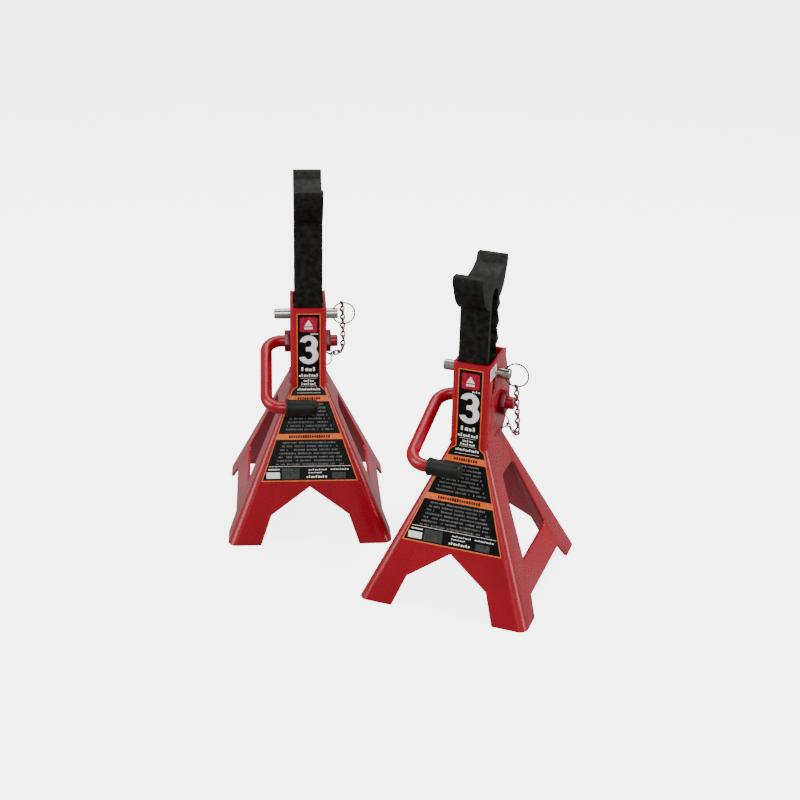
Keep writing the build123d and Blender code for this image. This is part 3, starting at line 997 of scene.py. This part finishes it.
def makeSplitRing(side):
    points = []
    thickness = []
    for step in range(ringShape["steps"] + 1):
        share = step / ringShape["steps"]
        angle = radians(ringShape["start"] + 360 * ringShape["turns"] * share)
        # the two ends thin out and lie side by side where they overlap
        away = (share * 2 - 1) ** 7
        thickness.append(1 - 0.48 * away * away)
        radius = ringShape["radius"]
        x = ringShape["x"] + radius * cos(angle)
        z = ringShape["z"] + radius * sin(angle)
        points.append(places[side] @ (Vector((x, ringShape["y"] + ringShape["part"] * away, z)) * mm))
    ring = lineObject(f"{side}PinRing", points)
    ring.data.attributes.new("thickness", "FLOAT", "POINT").data.foreach_set("value", thickness)
    growPlain(ring, wireGroup, {"Radius": ringShape["wire"] * mm, "Metal": ringSteel}, 60)
    settle(ring, f"{side}_pin", "ring_steel", f"{side}_pin_ring")


for side in sides:
    makeChain(side)
    makeSplitRing(side)
print("stage: chains and rings hung")


# weld beads
weld = {
    "z": 167.0,
    "wallX": 20.0,
    "front": (-26.2, -13.8),
    "rear": (1.8, 14.2),
    "radius": 1.75,
    "count": 10,
    "seed": 3,
}


def makeWelds(side):
    made = []
    for wall in (-1, 1):
        for number, (start, end) in enumerate((weld["front"], weld["rear"])):
            ends = [Vector((wall * weld["wallX"], y, weld["z"])) * mm for y in (start, end)]
            points = [places[side] @ end for end in ends]
            bead = lineObject(f"{side}Bead{len(made)}", points)
            growPlain(bead, beadGroup, {
                "Count": weld["count"],
                "Radius": weld["radius"] * mm,
                "Seed": weld["seed"] + number,
                "Paint": redEnamel,
            }, 50)
            made.append(bead)
    form = bmesh.new()
    for bead in made:
        form.from_mesh(bead.data)
        bpy.data.objects.remove(bead)
    mesh = bpy.data.meshes.new(f"{side}WeldBeads")
    form.to_mesh(mesh)
    form.free()
    beads = newPiece(f"{side}WeldBeads", mesh, redEnamel)
    mesh.shade_smooth()
    settle(beads, f"{side}_base", "red_enamel", f"{side}_weld_beads")


# rubber grip
grip = {
    "axisY": -82.0,
    "axisZ": 160.93,
    "open": -26.0,
    "sides": 48,
    # distance along the grip from its open end, then radius: bore, lip, body, rounded end
    "profile": [
        (31.0, 0.0), (31.0, 6.72), (0.9, 6.72), (0.0, 7.4),
        (0.0, 8.9), (0.5, 9.4), (1.2, 9.5), (2.6, 9.5), (3.2, 9.35), (3.8, 8.95),
        (4.6, 8.85), (10.0, 8.8), (20.0, 8.75), (28.0, 8.7),
        (31.5, 8.55), (33.4, 7.9), (34.5, 6.8), (35.0, 5.2), (35.0, 2.6), (34.75, 0.0),
    ],
}


def makeGrip(side):
    form = bmesh.new()
    count = grip["sides"]
    rings = []
    for along, radius in grip["profile"]:
        x = grip["open"] + along
        if radius == 0:
            rings.append([form.verts.new(Vector((x, grip["axisY"], grip["axisZ"])) * mm)])
            continue
        ring = []
        for step in range(count):
            angle = 2 * pi * step / count
            y, z = grip["axisY"] + radius * cos(angle), grip["axisZ"] + radius * sin(angle)
            ring.append(form.verts.new(Vector((x, y, z)) * mm))
        rings.append(ring)
    for near, far in zip(rings, rings[1:]):
        for step in range(count):
            follow = (step + 1) % count
            corners = [near[step % len(near)], near[follow % len(near)]]
            corners += [far[follow % len(far)], far[step % len(far)]]
            # at the middle of an end the corners meet in one point
            form.faces.new(list(dict.fromkeys(corners)))
    bmesh.ops.recalc_face_normals(form, faces=form.faces)
    mesh = bpy.data.meshes.new(f"{side}HandleGrip")
    form.to_mesh(mesh)
    form.free()
    mesh.transform(places[side])
    sleeve = newPiece(f"{side}HandleGrip", mesh, gripRubber)
    smoothByAngle(mesh, 50)
    settle(sleeve, f"{side}_release", "grip_rubber", f"{side}_handle_grip")


for side in sides:
    makeWelds(side)
    makeGrip(side)
print("stage: welds and grips made")


# plain CAD parts that keep their shape
keptFinishes = {
    "guide_strips": stripSteel,
    "lower_guide": darkPrimer,
    "post_stop": stripSteel,
    "pawl": darkPrimer,
    "pawl_pin": stripSteel,
    "locking_pin": zincSteel,
    "handle": redEnamel,
    "chain_anchor": chainSteel,
    "front_label": blackInk,
    "side_label": paperWhite,
}
for side in sides:
    for part, finish in keptFinishes.items():
        node = nodes[f"{side}_{part}"]
        node.data.materials.clear()
        node.data.materials.append(finish)
print("stage: finishes on the plain parts")


# floor, lights and camera
studio = {
    "floorRadius": 5.5,
    "sweepRadius": 4.0,
    "floorSides": 64,
    "sweepSteps": 12,
    "floorShade": 0.88,
    "floorGlow": 4.2,
    "skyStrength": 0.42,
    "aim": (0, 0, 0.2),
    "lights": [
        # name, place, size, watts
        ("leftLight", (-1.9, -0.5, 1.3), (1.2, 1.4), 42),
        ("rightLight", (1.9, -0.6, 1.2), (1.2, 1.4), 48),
        ("frontLight", (-0.3, -2.2, 1.9), (1.4, 1.0), 32),
        ("topLight", (0.1, 0.9, 2.3), (1.6, 1.2), 30),
    ],
}


def makeFloor():
    # a round floor that sweeps up into a wall on every side
    form = bmesh.new()
    profile = [(0.0, 0.0), (studio["floorRadius"], 0.0)]
    for step in range(1, studio["sweepSteps"] + 1):
        angle = radians(90 * step / studio["sweepSteps"])
        along = studio["floorRadius"] + studio["sweepRadius"] * sin(angle)
        profile.append((along, studio["sweepRadius"] * (1 - cos(angle))))
    around = studio["floorSides"]
    turns = [2 * pi * step / around for step in range(around)]
    rings = [[form.verts.new((0, 0, 0))]]
    for radius, height in profile[1:]:
        rings.append([form.verts.new((radius * cos(turn), radius * sin(turn), height)) for turn in turns])
    for near, far in zip(rings, rings[1:]):
        for step in range(around):
            follow = (step + 1) % around
            corners = [near[step % len(near)], far[step], far[follow], near[follow % len(near)]]
            form.faces.new(list(dict.fromkeys(corners)))
    mesh = bpy.data.meshes.new("floor")
    form.to_mesh(mesh)
    form.free()
    mesh.shade_smooth()
    material, tree, shader = startMaterial("floorPaint")
    shade = studio["floorShade"]
    colour = addRamp(tree, addNoise(tree, 3, 3), [(0.3, (shade,) * 3), (0.7, (shade + 0.02,) * 3)])
    tree.links.new(colour, shader.inputs["Base Color"])
    shader.inputs["Roughness"].default_value = 0.7
    shader.inputs["Emission Color"].default_value = (1, 1, 1, 1)
    shader.inputs["Emission Strength"].default_value = studio["floorGlow"]
    floor = newPiece("floor", mesh, material)
    # a lit sweep that stays white without throwing its light on the object
    floor.visible_diffuse = False
    floor.visible_glossy = False
    floor.visible_shadow = False


def addArea(name, place, target, size, watts):
    light = bpy.data.lights.new(name, "AREA")
    light.shape = "RECTANGLE"
    light.size, light.size_y = size
    light.energy = watts
    obj = bpy.data.objects.new(name, light)
    obj.location = place
    obj.rotation_euler = (Vector(target) - Vector(place)).to_track_quat("-Z", "Y").to_euler()
    bpy.context.scene.collection.objects.link(obj)


def makeStudio():
    makeFloor()
    for name, place, size, watts in studio["lights"]:
        addArea(name, place, studio["aim"], size, watts)
    world = bpy.data.worlds.new("studioSky")
    bpy.context.scene.world = world
    world.use_nodes = True
    sky = world.node_tree.nodes["Background"]
    sky.inputs["Color"].default_value = (1, 1, 1, 1)
    sky.inputs["Strength"].default_value = studio["skyStrength"]


view = {
    "place": (-0.137, -1.481, 0.857),
    "down": 0.4304,
    "turn": 0.0892,
    "tilt": 0.0251,
    "lens": 67.5,
}


def makeCamera():
    lens = bpy.data.cameras.new("viewCamera")
    lens.lens = view["lens"]
    lens.sensor_width = 36
    camera = bpy.data.objects.new("viewCamera", lens)
    camera.location = view["place"]
    level = Vector((sin(view["turn"]), cos(view["turn"]), 0))
    ahead = level * cos(view["down"]) - Vector((0, 0, sin(view["down"])))
    right = Vector((cos(view["turn"]), -sin(view["turn"]), 0))
    up = right.cross(ahead)
    rightTilted = right * cos(view["tilt"]) + up * sin(view["tilt"])
    upTilted = up * cos(view["tilt"]) - right * sin(view["tilt"])
    camera.rotation_euler = Matrix((rightTilted, upTilted, -ahead)).transposed().to_euler()
    bpy.context.scene.collection.objects.link(camera)
    bpy.context.scene.camera = camera


makeStudio()
makeCamera()
print("stage: studio and camera set")
